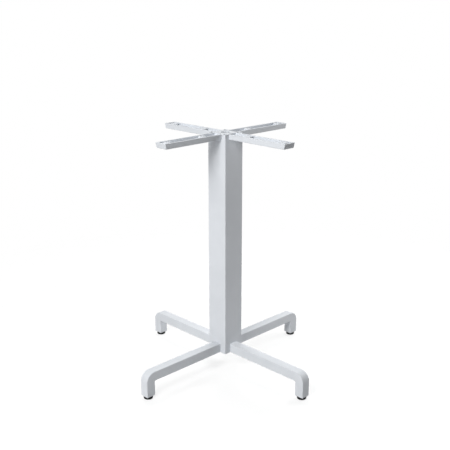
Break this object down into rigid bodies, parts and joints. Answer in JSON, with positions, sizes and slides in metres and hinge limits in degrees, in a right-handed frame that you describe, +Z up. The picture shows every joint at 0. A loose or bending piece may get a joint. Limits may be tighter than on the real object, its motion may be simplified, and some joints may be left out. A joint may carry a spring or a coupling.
{
  "type": "table base",
  "caption": "Pedestal table base: a square column on a cross of bent legs with levelling feet, and a cross of channelled arms on top for screwing down a tabletop.",
  "frame": {"origin": "on the floor, under the axis of the column", "axes": "+Z up along the column; the legs and arms lie along +X, -X, +Y and -Y"},
  "size_m": [0.642, 0.642, 0.72],
  "materials": {
    "coated_aluminium": "satin powder coat, cool pale grey, faint orange peel",
    "bare_casting": "as cast",
    "zinc_plated_steel": "bright zinc plating",
    "black_nylon": "moulded, satin"
  },
  "bodies": {
    "base": {"column": "coated_aluminium", "top_arm_right": "coated_aluminium", "top_arm_back": "coated_aluminium", "top_arm_left": "coated_aluminium", "top_arm_front": "coated_aluminium", "leg_right": "coated_aluminium", "leg_back": "coated_aluminium", "leg_left": "coated_aluminium", "leg_front": "coated_aluminium", "top_hub": "bare_casting", "bottom_hub": "bare_casting", "arm_screws": "zinc_plated_steel", "leg_screws": "zinc_plated_steel", "tie_rod": "zinc_plated_steel", "top_nut": "zinc_plated_steel", "top_washer": "zinc_plated_steel", "bottom_nut": "zinc_plated_steel", "bottom_washer": "zinc_plated_steel"},
    "foot_right": {"foot_stud_right": "zinc_plated_steel", "foot_pad_right": "black_nylon"},
    "foot_back": {"foot_stud_back": "zinc_plated_steel", "foot_pad_back": "black_nylon"},
    "foot_left": {"foot_stud_left": "zinc_plated_steel", "foot_pad_left": "black_nylon"},
    "foot_front": {"foot_stud_front": "zinc_plated_steel", "foot_pad_front": "black_nylon"}
  },
  "joints": [
    {"name": "foot_right_screw_out", "type": "slide", "parent": "base", "child": "foot_right", "axis": [0, 0, -1], "range_m": [0, 0.01]},
    {"name": "foot_back_screw_out", "type": "slide", "parent": "base", "child": "foot_back", "axis": [0, 0, -1], "range_m": [0, 0.01]},
    {"name": "foot_left_screw_out", "type": "slide", "parent": "base", "child": "foot_left", "axis": [0, 0, -1], "range_m": [0, 0.01]},
    {"name": "foot_front_screw_out", "type": "slide", "parent": "base", "child": "foot_front", "axis": [0, 0, -1], "range_m": [0, 0.01]}
  ]
}
